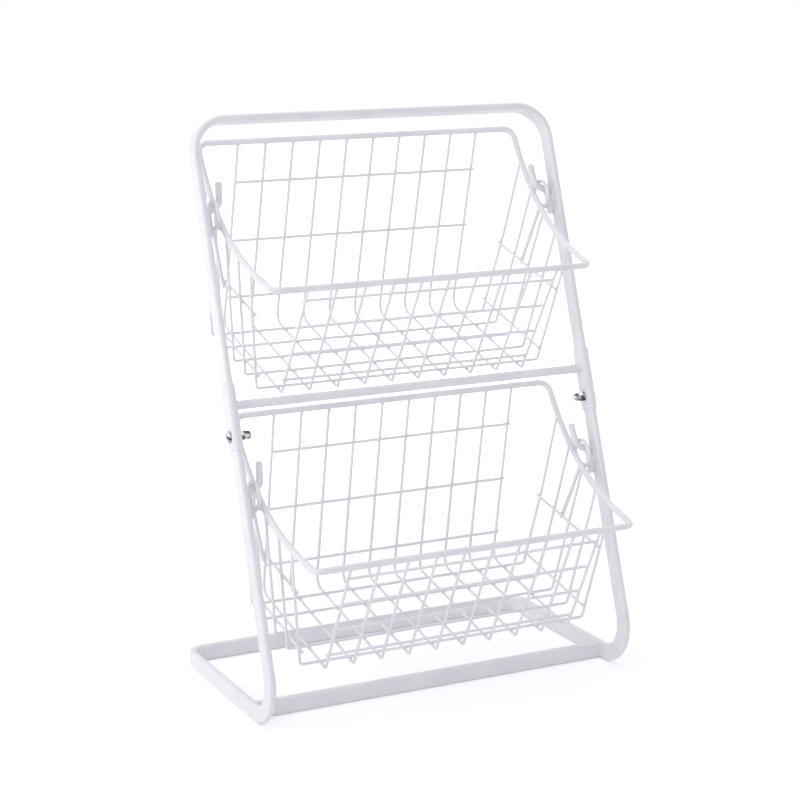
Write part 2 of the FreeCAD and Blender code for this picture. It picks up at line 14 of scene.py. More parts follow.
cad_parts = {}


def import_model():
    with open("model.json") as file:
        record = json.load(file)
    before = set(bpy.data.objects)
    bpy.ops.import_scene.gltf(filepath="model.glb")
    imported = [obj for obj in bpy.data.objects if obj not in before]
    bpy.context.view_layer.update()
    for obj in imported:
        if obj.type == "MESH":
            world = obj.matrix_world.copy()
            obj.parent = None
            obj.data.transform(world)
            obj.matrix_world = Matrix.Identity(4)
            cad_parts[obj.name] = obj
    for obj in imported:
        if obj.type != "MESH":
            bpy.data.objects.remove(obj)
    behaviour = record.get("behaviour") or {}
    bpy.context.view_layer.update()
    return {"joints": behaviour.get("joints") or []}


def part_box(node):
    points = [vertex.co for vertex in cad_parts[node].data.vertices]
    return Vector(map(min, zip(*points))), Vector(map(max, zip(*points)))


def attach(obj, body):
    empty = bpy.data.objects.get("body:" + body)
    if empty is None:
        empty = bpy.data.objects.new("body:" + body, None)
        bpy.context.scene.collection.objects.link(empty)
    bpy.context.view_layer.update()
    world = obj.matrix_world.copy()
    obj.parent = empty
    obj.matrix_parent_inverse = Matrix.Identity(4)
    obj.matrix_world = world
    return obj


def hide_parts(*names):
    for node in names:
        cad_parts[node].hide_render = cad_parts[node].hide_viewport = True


LOG = logging.getLogger("basket_stand")
IMAGE_PIXELS = 800
ACROSS = Vector((1.0, 0.0, 0.0))
BACKWARD = Vector((0.0, 1.0, 0.0))
UPWARD = Vector((0.0, 0.0, 1.0))
WHITE = (1.0, 1.0, 1.0, 1.0)
QUARTER = math.pi / 2

# Largest turns between two points of a bend
WIRE_STEP = math.radians(7.5)
HOOK_STEP = math.radians(6.0)
TUBE_STEP = math.radians(5.0)
RIM_STEP = math.radians(4.0)

# Angles in degrees from which an edge is hard
TUBE_SHARP = 40.0
WIRE_SHARP = 50.0
WELD_SHARP = 60.0

# How far an eight-sided section's corners reach past its flats, since the solids' wires have such sections
CORNER_REACH = 1 / math.cos(math.pi / 8)

# Steps of small round forms
CORNER_STEPS = 5
DOME_STEPS = 12
EASE_STEPS = 4
FLARE_STEPS = 10

# Share of a flat that lies between its corner and the point that keeps it flat
FLAT_HOLD = 0.15

# Points around a weld lens, and the shares of its thickness at which its rings lie
LENS_SIDES = 10
LENS_LEVELS = (-0.92, -0.6, 0.0, 0.6, 0.92)

# Fixed settings of the noise and bump that the finishes share
PATCH_ROUGHNESS = 0.6
PEEL_DETAIL = 2.0
PEEL_DEPTH = 0.0003

Pair = tuple[float, float]
Triple = tuple[float, float, float]
Colour = tuple[float, float, float, float]
Ring = list[Vector]
Axes = tuple[Vector, Vector, Vector]


class Body(Enum):
    """CAD bodies that pieces ride on."""

    STAND = "stand"
    UPPER = "upper_basket"
    LOWER = "lower_basket"


class Slot(Enum):
    """Material slots of the record."""

    COAT = "white_coat"
    PLATED = "plated_steel"


class Side(Enum):
    """Left and right, by the sign of a place across."""

    LEFT = -1
    RIGHT = 1

    @property
    def label(self) -> str:
        """Word for this side in the names of nodes."""
        return self.name.lower()


@dataclass(frozen=True)
class EyeSize:
    """Hanger eye, placed in the basket's own frame."""

    across: float
    forward: float
    up: float
    wire: float = 0.0035
    radius: float = 0.01175
    tail_overhang: float = 0.004
    tail_rounding: float = 0.0007
    sides: int = 16
    ring_points: int = 56


class Tier(Enum):
    """The two baskets and what belongs to each."""

    UPPER = "upper"
    LOWER = "lower"

    @property
    def body(self) -> Body:
        """Body that this tier's basket rides on."""
        return Body.UPPER if self is Tier.UPPER else Body.LOWER

    @property
    def tilt(self) -> float:
        """How far the hung basket leans forward."""
        return math.radians(16.1 if self is Tier.UPPER else 11.9)

    @property
    def eye(self) -> EyeSize:
        """Right-hand eye of this tier's basket, from which it hangs in balance.

        Returns:
            Its size and place.
        """
        if self is Tier.UPPER:
            return EyeSize(across=0.155756, forward=0.059452, up=0.130786)
        return EyeSize(across=0.155644, forward=0.064143, up=0.128585)


@dataclass(frozen=True)
class TubeSize:
    """Flat tube of the stand."""

    wide: float = 0.015
    thin: float = 0.006
    corner: float = 0.0024


@dataclass(frozen=True)
class BeadForm:
    """Weld bead: its size, the ripples and slow swell along it, and how it starts from its tips."""

    radius: float = 0.0009
    pitch: float = 0.0011
    sides: int = 8
    ripple: float = 0.13
    ripple_rate: float = 1.9
    swell: float = 0.06
    swell_rate: float = 0.7
    swell_start: float = 1.0
    tip: float = 0.35
    tip_points: int = 3

    def radius_at(self, index: int) -> float:
        """Radius at a point along the bead, ripples and swell included.

        Args:
            index: number of the point.

        Returns:
            The radius.
        """
        ripple = self.ripple * math.sin(index * self.ripple_rate)
        swell = self.swell * math.sin(index * self.swell_rate + self.swell_start)
        return self.radius * (1.0 + ripple + swell)

    def fade_at(self, distance: int) -> float:
        """Factor on the radius at a number of points from the nearer tip."""
        return min(1.0, self.tip + (1.0 - self.tip) * distance / self.tip_points)


@dataclass(frozen=True)
class LensSize:
    """Half axes of the weld lenses on a basket."""

    crossing: Triple = (0.00165, 0.00165, 0.0009)
    along_rim: float = 0.0021
    over_rim: float = 0.0018
    below_rim: float = 0.0011
    tail_top: Triple = (0.0027, 0.0016, 0.0015)
    tail_foot_growth: float = 1.25
    ring: Triple = (0.0024, 0.0021, 0.0014)
    ring_stretch: float = 0.001
    ring_outward: float = 0.6


def rounded(points: Sequence[Vector], radii: Sequence[float], step: float) -> list[Vector]:
    """Line through the points with an arc of two chords or more at each inner one.

    Args:
        points: corners of the line, ends included.
        radii: bend radius at each inner corner.
        step: largest turn between two points of an arc.

    Returns:
        Points along the line.
    """
    line = [points[0]]
    for before, corner, after, radius in zip(points, points[1:], points[2:], radii):
        arrive = (corner - before).normalized()
        leave = (after - corner).normalized()
        turn = arrive.angle(leave)
        centre = corner + (leave - arrive).normalized() * (radius / math.cos(turn / 2))
        spoke = corner - arrive * (radius * math.tan(turn / 2)) - centre
        count = max(2, math.ceil(turn / step))
        for index in range(count + 1):
            angle = turn * index / count
            line.append(centre + spoke * math.cos(angle) + arrive * (radius * math.sin(angle)))
    line.append(points[-1])
    return line


def mirrored(point: Vector) -> Vector:
    """Partner of a point on the other side of the middle plane."""
    return Vector((-point.x, point.y, point.z))


def with_partners(half: Sequence[Vector]) -> list[Vector]:
    """Half a line followed by its mirrored half, back to where it started."""
    return list(half) + [mirrored(point) for point in reversed(half)]


def turns(count: int) -> list[float]:
    """Even angles once round."""
    return [2 * math.pi * index / count for index in range(count)]


def circle(radius: float, count: int) -> list[Pair]:
    """Section of a round wire or rod."""
    return [(radius * math.cos(turn), radius * math.sin(turn)) for turn in turns(count)]


def hexagon_reach(turn: float) -> float:
    """How far a hexagon reaches past its flats at an angle."""
    return 1.0 / math.cos((turn + math.pi / 6) % (math.pi / 3) - math.pi / 6)


def flat_oval(thin: float, wide: float, corner: float, steps: int = CORNER_STEPS) -> list[Pair]:
    """Rounded rectangle, with a point close to each arc's ends that keeps the flats flat.

    Args:
        thin: size along the first axis.
        wide: size along the second axis.
        corner: corner radius.
        steps: chords in each corner.

    Returns:
        Points of the section, anticlockwise.
    """
    points: list[Pair] = []
    hold = FLAT_HOLD * min(thin - 2 * corner, wide - 2 * corner)
    for quarter, (a, b) in enumerate([(1, 1), (-1, 1), (-1, -1), (1, -1)]):
        centre = Vector((a * (thin / 2 - corner), b * (wide / 2 - corner)))
        start = quarter * QUARTER
        first = Vector((math.cos(start), math.sin(start)))
        last = Vector((-first.y, first.x))
        points.append(tuple(centre + first * corner - last * hold))
        for index in range(steps + 1):
            turn = start + QUARTER * index / steps
            points.append(tuple(centre + Vector((math.cos(turn), math.sin(turn))) * corner))
        points.append(tuple(centre + last * corner - first * hold))
    return points


def ring_at(centre: Vector, axes: Sequence[Vector], section: Sequence[Pair], size: float = 1.0) -> Ring:
    """Section drawn about a centre along the first two axes."""
    return [centre + (axes[0] * a + axes[1] * b) * size for a, b in section]


def carried(points: Sequence[Vector], side: Vector, closed: bool = False) -> list[Axes]:
    """Frames along a line that turn no more than the line does.

    Args:
        points: the line.
        side: direction of the section's first axis at the start.
        closed: whether the last point joins the first.

    Returns:
        First axis, second axis and tangent at each point.
    """
    count = len(points)
    tangents = []
    for index, here in enumerate(points):
        before = points[index - 1] if closed or index > 0 else here
        after = points[(index + 1) % count] if closed or index < count - 1 else here
        tangents.append(((here - before).normalized() + (after - here).normalized()).normalized())
    axis = (side - tangents[0] * side.dot(tangents[0])).normalized()
    axes = [axis]
    for first, second in zip(tangents, tangents[1:]):
        axis = first.rotation_difference(second) @ axis
        axes.append((axis - second * axis.dot(second)).normalized())
    if closed:
        back = tangents[-1].rotation_difference(tangents[0]) @ axes[-1]
        twist = math.atan2(back.cross(axes[0]).dot(tangents[0]), back.dot(axes[0]))
        for index in range(count):
            axes[index] = Quaternion(tangents[index], twist * index / count) @ axes[index]
    return [(axis, tangent.cross(axis), tangent) for axis, tangent in zip(axes, tangents)]


class MeshDraft:
    """Vertices and faces gathered for one piece."""

    def __init__(self) -> None:
        """Start with nothing drawn."""
        self.points: list[Vector] = []
        self.faces: list[tuple[int, ...]] = []

    def skin(self, rings: Sequence[Ring], closed: bool = False) -> None:
        """Join rings of equal length to a surface, with a face over each end unless it is a loop.

        Args:
            rings: rings in order.
            closed: whether the last ring joins the first.
        """
        start = len(self.points)
        size = len(rings[0])
        for ring in rings:
            self.points.extend(ring)
        for index in range(len(rings) if closed else len(rings) - 1):
            low = start + index * size
            high = start + (index + 1) % len(rings) * size
            for k in range(size):
                after = (k + 1) % size
                self.faces.append((low + k, low + after, high + after, high + k))
        if not closed:
            last = start + (len(rings) - 1) * size
            self.faces.append(tuple(start + k for k in reversed(range(size))))
            self.faces.append(tuple(last + k for k in range(size)))

    def rod(self, line: Sequence[Vector], radius: float, side: Vector, sides: int, closed: bool = False,
            rounding: float = 0.0) -> None:
        """Round wire along a line.

        Args:
            line: axis of the wire.
            radius: its radius.
            side: direction in which the section starts.
            sides: points around the section.
            closed: whether the wire is a loop.
            rounding: radius of the eased edge at each end.
        """
        section = circle(1.0, sides)
        frames = carried(line, side, closed)
        rings = [ring_at(point, axes, section, radius) for point, axes in zip(line, frames)]
        if rounding > 0:
            rings = self._eased_end(line[1], line[0], rings[0], rounding)[::-1] + rings[1:]
            rings = rings[:-1] + self._eased_end(line[-2], line[-1], rings[-1], rounding)
        self.skin(rings, closed)

    @staticmethod
    def _eased_end(inner: Vector, end: Vector, ring: Ring, rounding: float) -> list[Ring]:
        """Rings that round off the edge of a wire's end.

        Args:
            inner: point of the line next to its end.
            end: end of the line.
            ring: ring of the wire at that end.
            rounding: radius of the eased edge.

        Returns:
            Rings from the wire's full section to its end face.
        """
        outward = (end - inner).normalized()
        radius = (ring[0] - end).length
        eased = []
        for index in range(EASE_STEPS + 1):
            turn = QUARTER * index / EASE_STEPS
            share = (radius - rounding * (1 - math.cos(turn))) / radius
            shift = outward * (rounding * (math.sin(turn) - 1))
            eased.append([end + (point - end) * share + shift for point in ring])
        return eased

    def turned(self, profile: Sequence[Pair], origin: Vector, axis: Vector, side: Vector, count: int,
               reach: Callable[[float], float] | None = None) -> None:
        """Surface turned about an axis.

        Args:
            profile: radius and height pairs from the foot to the top.
            origin: point on the axis at height zero.
            axis: direction of height.
            side: direction of the first point.
            count: points around.
            reach: factor on the radius at each angle, for a form that isn't round.
        """
        second = axis.cross(side)
        rings = []
        for radius, height in profile:
            ring = []
            for turn in turns(count):
                grown = radius * (reach(turn) if reach else 1.0)
                spoke = side * math.cos(turn) + second * math.sin(turn)
                ring.append(origin + axis * height + spoke * grown)
            rings.append(ring)
        self.skin(rings)

    def lens(self, centre: Vector, axes: Sequence[Vector], halves: Triple) -> None:
        """Small weld lens.

        Args:
            centre: middle of the lens.
            axes: two directions in its plane and the one through it.
            halves: half axis along each of them.
        """
        first, second, third = [axis * half for axis, half in zip(axes, halves)]
        rings = []
        for level in LENS_LEVELS:
            section = circle(math.sqrt(1 - level * level), LENS_SIDES)
            rings.append(ring_at(centre + third * level, (first, second), section))
        self.skin(rings)

    def bead(self, line: Sequence[Vector], side: Vector, form: BeadForm, closed: bool = False) -> None:
        """Weld bead along a line: a round seam with the ripples of its passes.

        Args:
            line: points along the seam.
            side: direction in which the section starts.
            form: size and ripples of the bead.
            closed: whether the seam runs all round.
        """
        section = circle(1.0, form.sides)
        rings = []
        for index, (point, axes) in enumerate(zip(line, carried(line, side, closed))):
            fade = 1.0 if closed else form.fade_at(min(index, len(line) - 1 - index))
            rings.append(ring_at(point, axes, section, form.radius_at(index) * fade))
        self.skin(rings, closed)

    def moved(self, matrix: Matrix) -> "MeshDraft":
        """The same draft in another place.

        Args:
            matrix: where it goes.

        Returns:
            A new draft.
        """
        draft = MeshDraft()
        draft.points = [matrix @ point for point in self.points]
        draft.faces = list(self.faces)
        return draft

    def piece(self, name: str, material: bpy.types.Material, sharp: float) -> bpy.types.Object:
        """Make the Blender object.

        Args:
            name: name of the object.
            material: its finish.
            sharp: angle in degrees from which an edge is hard.

        Returns:
            The object, linked to the scene.
        """
        mesh = bpy.data.meshes.new(name)
        mesh.from_pydata([tuple(point) for point in self.points], [], self.faces)
        work = bmesh.new()
        work.from_mesh(mesh)
        bmesh.ops.recalc_face_normals(work, faces=work.faces)
        work.to_mesh(mesh)
        work.free()
        mesh.polygons.foreach_set("use_smooth", [True] * len(mesh.polygons))
        mesh.set_sharp_from_angle(angle=math.radians(sharp))
        mesh.materials.append(material)
        made = bpy.data.objects.new(name, mesh)
        bpy.context.scene.collection.objects.link(made)
        return made


@dataclass(frozen=True)
class CoatFinish:
    """White powder coat: two close tones, satin gloss and a fine orange peel."""

    name: str = "powder_coat"
    light: Colour = (0.87, 0.87, 0.885, 1.0)
    shade: Colour = (0.80, 0.80, 0.83, 1.0)
    patch_scale: float = 38.0
    patch_detail: float = 4.0
    patch_low: float = 0.32
    patch_high: float = 0.68
    peel_scale: float = 950.0
    peel_height: float = 0.22
    smooth: float = 0.34
    rough: float = 0.50
    coat: float = 0.22
    coat_roughness: float = 0.18

    @property
    def constants(self) -> dict[str, float]:
        """Shader values that are the same all over."""
        return {"Coat Weight": self.coat, "Coat Roughness": self.coat_roughness}


@dataclass(frozen=True)
class PlatedFinish:
    """Bright plate: clear metal whose base colour holds soft light and dark patches, a painted reflection
    of dark surroundings, and a very fine grain.
    """

    name: str = "zinc_plate"
    light: Colour = (0.66, 0.66, 0.67, 1.0)
    # Painted reflection: the dark patch tone stands in for dark surroundings mirrored in the metal
    shade: Colour = (0.07, 0.07, 0.073, 1.0)
    patch_scale: float = 260.0
    patch_detail: float = 0.0
    patch_low: float = 0.36
    patch_high: float = 0.66
    peel_scale: float = 2400.0
    peel_height: float = 0.10
    smooth: float = 0.12
    rough: float = 0.30
    metallic: float = 1.0

    @property
    def constants(self) -> dict[str, float]:
        """Shader values that are the same all over."""
        return {"Metallic": self.metallic}


def fed(tree: bpy.types.NodeTree, node: bpy.types.Node, feeds: dict[str | int, object]) -> bpy.types.Node:
    """Link or set inputs of a node.

    Args:
        tree: nodes that it belongs to.
        node: the node.
        feeds: for each input, the socket to link to it or the value to set.

    Returns:
        The same node.
    """
    for name, source in feeds.items():
        if isinstance(source, bpy.types.NodeSocket):
            tree.links.new(source, node.inputs[name])
        else:
            node.inputs[name].default_value = source
    return node


class MaterialShop:
    """Makes the finishes from one shared group of nodes."""

    def __init__(self) -> None:
        """Build the group that the finishes share."""
        self.group = self._surface_group()

    @staticmethod
    def _surface_group() -> bpy.types.NodeTree:
        """Group that turns a place on the surface into tone, roughness and bump height; its tone patches
        are random tone on the coat and painted reflection on the plate.

        Returns:
            The group of nodes.
        """
        tree = bpy.data.node_groups.new("tone_and_painted_reflection", "ShaderNodeTree")
        values = ("Patch", "Detail", "Low", "High", "Peel", "Smooth", "Rough")
        for way, kind, names in (("INPUT", "NodeSocketColor", ("Light", "Shade")),
                                 ("INPUT", "NodeSocketFloat", values),
                                 ("OUTPUT", "NodeSocketColor", ("Color",)),
                                 ("OUTPUT", "NodeSocketFloat", ("Roughness", "Height"))):
            for name in names:
                tree.interface.new_socket(name=name, in_out=way, socket_type=kind)
        nodes = tree.nodes
        given = nodes.new("NodeGroupInput").outputs
        place = nodes.new("ShaderNodeTexCoord").outputs["Object"]
        patches = fed(tree, nodes.new("ShaderNodeTexNoise"), {
            "Vector": place, "Scale": given["Patch"],
            "Detail": given["Detail"], "Roughness": PATCH_ROUGHNESS,
        })
        spread = fed(tree, nodes.new("ShaderNodeMapRange"), {
            "Value": patches.outputs["Fac"], "From Min": given["Low"], "From Max": given["High"],
        })
        tone = nodes.new("ShaderNodeMix")
        tone.data_type = "RGBA"
        fed(tree, tone, {"Factor": spread.outputs["Result"], "A": given["Light"], "B": given["Shade"]})
        peel = fed(tree, nodes.new("ShaderNodeTexNoise"), {
            "Vector": place, "Scale": given["Peel"], "Detail": PEEL_DETAIL,
        })
        gloss = fed(tree, nodes.new("ShaderNodeMapRange"), {
            "Value": peel.outputs["Fac"], "To Min": given["Smooth"], "To Max": given["Rough"],
        })
        fed(tree, nodes.new("NodeGroupOutput"), {
            "Color": tone.outputs["Result"], "Roughness": gloss.outputs["Result"],
            "Height": peel.outputs["Fac"],
        })
        return tree

    def dressed(self, finish: CoatFinish | PlatedFinish) -> bpy.types.Material:
        """Material whose shader takes its tone, roughness and bump from the group.

        Args:
            finish: tones, scales, gloss and constants.

        Returns:
            The material.
        """
        material = bpy.data.materials.new(finish.name)
        material.use_nodes = True
        tree = material.node_tree
        group = tree.nodes.new("ShaderNodeGroup")
        group.node_tree = self.group
        fed(tree, group, {
            "Light": finish.light, "Shade": finish.shade,
            "Patch": finish.patch_scale, "Detail": finish.patch_detail,
            "Low": finish.patch_low, "High": finish.patch_high,
            "Peel": finish.peel_scale, "Smooth": finish.smooth, "Rough": finish.rough,
        })
        bump = fed(tree, tree.nodes.new("ShaderNodeBump"), {
            "Strength": finish.peel_height, "Distance": PEEL_DEPTH, "Height": group.outputs["Height"],
        })
        shader = fed(tree, tree.nodes["Principled BSDF"], {
            "Base Color": group.outputs["Color"], "Roughness": group.outputs["Roughness"],
            "Normal": bump.outputs["Normal"],
        })
        fed(tree, shader, finish.constants)
        return material


@dataclass(frozen=True)
class Finishes:
    """Materials in use."""

    coat: bpy.types.Material
    plated: bpy.types.Material


def fit_out(piece: bpy.types.Object, body: Body, slot: Slot, *nodes: str) -> None:
    """Tie a piece to its body, hide the CAD nodes that it stands for and log its material slot.

    Args:
        piece: the object.
        body: body that it moves with.
        slot: material slot that its finish belongs to.
        nodes: CAD nodes that it replaces.
    """
    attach(piece, body.value)
    if nodes:
        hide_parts(*nodes)
    LOG.info("%s rides on %s with finish %s", piece.name, body.value, slot.value)


@dataclass
class Stand:
    """Leaning frame of flat tube in two bolted halves, with its crossbar, fasteners and hooks.

    Lengths up a leg are counted from where its axis meets the floor.
    """

    finishes: Finishes
    shift: float
    tube: TubeSize = TubeSize()
    bead: BeadForm = BeadForm()
    leg_x: float = 0.167
    lean: float = math.radians(18.4)
    top_bar_up: float = 0.5094
    top_radius: float = 0.029
    foot_radius: float = 0.031
    rear_radius: float = 0.014
    rear_back: float = 0.208
    front_back: float = 0.0514
    front_seam_inset: float = 0.0022
    front_seam_steps: int = 4
    socket_up: float = 0.235
    socket_top: float = 0.285
    socket_flare: float = 0.008
    socket_growth: float = 0.0026
    socket_clearance: float = 0.00015
    lip_height: float = 0.0006
    lip_share: float = 0.9
    lip_depths: Pair = (0.0004, 0.012)
    leg_stop_gap: float = 0.003
    crossbar_up: float = 0.2715
    crossbar_radius: float = 0.0038
    crossbar_sides: int = 28
    crossbar_seam_out: float = 0.0002
    crossbar_seam_points: int = 24
    bolt_up: float = 0.2465
    bolt_head_radius: float = 0.005
    bolt_head_rim: float = 0.0009
    bolt_head_edge: float = 0.00025
    bolt_head_height: float = 0.0033
    bolt_shank_radius: float = 0.0025
    bolt_shank_length: float = 0.012
    bolt_sides: int = 44
    bolt_sharp: float = 50.0
    nut_apothem: float = 0.004
    nut_hex_height: float = 0.0042
    nut_foot_share: float = 0.94
    nut_foot_chamfer: float = 0.0005
    nut_top_share: float = 0.93
    nut_top_chamfer: float = 0.0006
    nut_sides: int = 48
    nut_sharp: float = 28.0
    nut_dome_radius: float = 0.0036
    nut_dome_height: float = 0.0062
    nut_dome_skirt: float = 0.0002
    nut_dome_fillet: float = 0.0003
    nut_dome_sides: int = 40
    hook_rod: float = 0.006
    hook_sides: int = 24
    hook_rounding: float = 0.0022
    hook_behind: float = 0.004
    hook_stem_drop: float = 0.024
    hook_tip_rise: float = 0.022
    hook_slope: float = math.radians(60.0)
    hook_flare: float = math.radians(6.0)
    hook_tip_gap: float = 0.0008
    hook_radius: float = 0.0055
    hook_lower_up: float = 0.2025
    hook_upper_up: float = 0.4365
    hook_seam_drop: float = 0.0225
    hook_seam_length: float = 0.0165
    hook_seam_steps: int = 14
    hook_seam_half: float = 0.0024
    hook_seam_inset: float = 0.0004

    def __post_init__(self) -> None:
        """Work out the directions and faces that the sizes lead to."""
        self.origin = Vector((0.0, self.shift, 0.0))
        self.up_leg = Vector((0.0, math.sin(self.lean), math.cos(self.lean)))
        self.behind = Vector((0.0, math.cos(self.lean), -math.sin(self.lean)))
        self.socket_inner = self.leg_x - (self.tube.thin + self.socket_growth) / 2
        self.socket_outer = self.leg_x + (self.tube.thin + self.socket_growth) / 2
        self.leg_inner = self.leg_x - self.tube.thin / 2
        self.welds = MeshDraft()

    def on_leg(self, x: float, up: float, behind: float = 0.0) -> Vector:
        """Point at a length up the leg axis, x across and a distance behind the axis."""
        return self.origin + ACROSS * x + self.up_leg * up + self.behind * behind

    def build(self) -> None:
        """Make every piece of the stand."""
        self._fit("lower_frame_tube", self._lower_frame())
        self._fit("base_front_bar", self._front_bar())
        self._fit("upper_frame_tube", self._upper_frame())
        self._fit("crossbar", self._crossbar())
        self._fit("joint_bolts", self._bolts(), Slot.PLATED, self.bolt_sharp)
        self._fit("cap_nuts", self._nuts(), Slot.PLATED, self.nut_sharp)
        for tier, up in ((Tier.UPPER, self.hook_upper_up), (Tier.LOWER, self.hook_lower_up)):
            for side in Side:
                self._fit(f"hook_{tier.value}_{side.label}", self._hook(tier.eye, up, side))
        fit_out(self.welds.piece("stand_welds", self.finishes.coat, WELD_SHARP), Body.STAND, Slot.COAT)

    def _fit(self, node: str, draft: MeshDraft, slot: Slot = Slot.COAT, sharp: float = TUBE_SHARP) -> None:
        """Make the piece that stands for a CAD node, in the finish of its slot."""
        material = self.finishes.coat if slot is Slot.COAT else self.finishes.plated
        fit_out(draft.piece(f"{node}.look", material, sharp), Body.STAND, slot, node)

    def _tube(self, line: Sequence[Vector], side: Vector) -> MeshDraft:
        """Plain flat tube along a line.

        Args:
            line: axis of the tube.
            side: direction of the section's thin side at the start.

        Returns:
            The draft.
        """
        section = self._grown_section(0.0)
        draft = MeshDraft()
        draft.skin([ring_at(point, axes, section) for point, axes in zip(line, carried(line, side))])
        return draft

    def _grown_section(self, growth: float) -> list[Pair]:
        """Section of the tube, expanded by a growth in both sizes."""
        tube = self.tube
        return flat_oval(tube.thin + growth, tube.wide + growth, tube.corner + growth / 2)

    def _lower_frame(self) -> MeshDraft:
        """Legs, foot bends, rails and rear bar in one bent tube.

        Returns:
            The draft.
        """
        rail_z = self.tube.wide / 2
        half = [
            self.on_leg(-self.leg_x, self.socket_top - self.leg_stop_gap),
            self.origin + Vector((-self.leg_x, rail_z * math.tan(self.lean), rail_z)),
            self.origin + Vector((-self.leg_x, self.rear_back, rail_z)),
        ]
        radii = [self.foot_radius, self.rear_radius, self.rear_radius, self.foot_radius]
        return self._tube(rounded(with_partners(half), radii, TUBE_STEP), ACROSS)

    def _front_bar(self) -> MeshDraft:
        """Bar between the rails, with a weld seam round each end.

        Returns:
            The draft.
        """
        start = self.origin + Vector((-self.leg_inner, self.front_back, self.tube.wide / 2))
        tall = self.tube.wide - self.front_seam_inset
        section = flat_oval(self.tube.thin, tall, self.tube.corner, self.front_seam_steps)
        for centre in (start, mirrored(start)):
            seam = ring_at(centre, (BACKWARD, UPWARD), section)
            self.welds.bead(self._resampled(seam, self.bead.pitch), ACROSS, self.bead, True)
        return self._tube([start, mirrored(start)], BACKWARD)

    @staticmethod
    def _resampled(loop: Sequence[Vector], pitch: float) -> list[Vector]:
        """Points at an even pitch along a closed loop.

        Args:
            loop: corners of the loop.
            pitch: distance between points.

        Returns:
            The points.
        """
        ends = list(loop[1:]) + [loop[0]]
        lengths = [(b - a).length for a, b in zip(loop, ends)]
        whole = sum(lengths)
        count = round(whole / pitch)
        points = []
        index = 0
        passed = 0.0
        for k in range(count):
            place = whole * k / count
            while passed + lengths[index] < place:
                passed += lengths[index]
                index += 1
            points.append(loop[index].lerp(ends[index], (place - passed) / lengths[index]))
        return points

    def _upper_frame(self) -> MeshDraft:
        """Inverted U of tube whose ends flare out to sockets with a lip.

        Returns:
            The draft.
        """
        half = [self.on_leg(-self.leg_x, self.socket_up), self.on_leg(-self.leg_x, self.top_bar_up)]
        bend = rounded(with_partners(half), [self.top_radius] * 2, TUBE_STEP)[1:-1]
        levels = [self.socket_up, self.socket_up + self.lip_height]
        grown = [self.lip_share, 1.0]
        for index in range(FLARE_STEPS + 1):
            levels.append(self.socket_top + self.socket_flare * index / FLARE_STEPS)
            grown.append(0.5 + 0.5 * math.cos(math.pi * index / FLARE_STEPS))
        leg = [self.on_leg(-self.leg_x, up) for up in levels]
        line = leg + bend + [mirrored(point) for point in reversed(leg)]
        shares = grown + [0.0] * len(bend) + grown[::-1]
        frames = carried(line, ACROSS)
        rings = []
        for point, share, axes in zip(line, shares, frames):
            rings.append(ring_at(point, axes, self._grown_section(self.socket_growth * share)))
        inner = self._grown_section(2 * self.socket_clearance)
        lips = []
        for place, way in ((0, 1), (-1, -1)):
            inward = frames[place][2] * way
            for depth in self.lip_depths:
                lips.append(ring_at(line[place] + inward * depth, frames[place], inner))
        draft = MeshDraft()
        draft.skin([lips[1], lips[0]] + rings + lips[2:])
        return draft

    def _crossbar(self) -> MeshDraft:
        """Round tube between the sockets, with a weld seam round each end.

        Returns:
            The draft.
        """
        start = self.on_leg(-self.socket_inner, self.crossbar_up)
        draft = MeshDraft()
        draft.rod([start, mirrored(start)], self.crossbar_radius, UPWARD, self.crossbar_sides)
        section = circle(self.crossbar_radius + self.crossbar_seam_out, self.crossbar_seam_points)
        for centre in (start, mirrored(start)):
            self.welds.bead(ring_at(centre, (self.up_leg, self.behind), section), ACROSS, self.bead, True)
        return draft

    def _bolts(self) -> MeshDraft:
        """Domed bolt heads seated on the outer faces of the sockets, with their shanks.

        Returns:
            The draft.
        """
        radius = self.bolt_head_radius
        edge = self.bolt_head_edge
        rise = self.bolt_head_height - self.bolt_head_rim
        sphere = (radius ** 2 + rise ** 2) / (2 * rise)
        whole = math.asin(radius / sphere)
        profile = [
            (self.bolt_shank_radius, -self.bolt_shank_length),
            (self.bolt_shank_radius, 0.0),
            (radius - edge, 0.0),
            (radius, edge),
            (radius, self.bolt_head_rim - edge),
        ]
        for index in range(1, DOME_STEPS + 1):
            turn = whole * (1 - index / (DOME_STEPS + 0.5))
            profile.append((sphere * math.sin(turn), self.bolt_head_height - sphere * (1 - math.cos(turn))))
        draft = MeshDraft()
        for side in Side:
            seat = self.on_leg(side.value * self.socket_outer, self.bolt_up)
            draft.turned(profile, seat, ACROSS * side.value, self.behind, self.bolt_sides)
        return draft

    def _nuts(self) -> MeshDraft:
        """Hexagon cap nuts with chamfered corners and a polished dome.

        Returns:
            The draft.
        """
        flats = self.nut_apothem
        top = self.nut_hex_height
        radius = self.nut_dome_radius
        body = [
            (flats * self.nut_foot_share, 0.0),
            (flats, self.nut_foot_chamfer),
            (flats, top - self.nut_top_chamfer),
            (flats * self.nut_top_share, top),
        ]
        skirt = self.nut_dome_skirt
        dome = [(radius + skirt, top - skirt), (radius, top + self.nut_dome_fillet)]
        for index in range(DOME_STEPS):
            turn = QUARTER * index / (DOME_STEPS - 0.5)
            height = top + self.nut_dome_height - radius + radius * math.sin(turn)
            dome.append((radius * math.cos(turn), height))
        draft = MeshDraft()
        for side in Side:
            seat = self.on_leg(side.value * self.socket_inner, self.bolt_up)
            inward = ACROSS * -side.value
            draft.turned(body, seat, inward, self.up_leg, self.nut_sides, hexagon_reach)
            draft.turned(dome, seat, inward, self.up_leg, self.nut_dome_sides)
        return draft

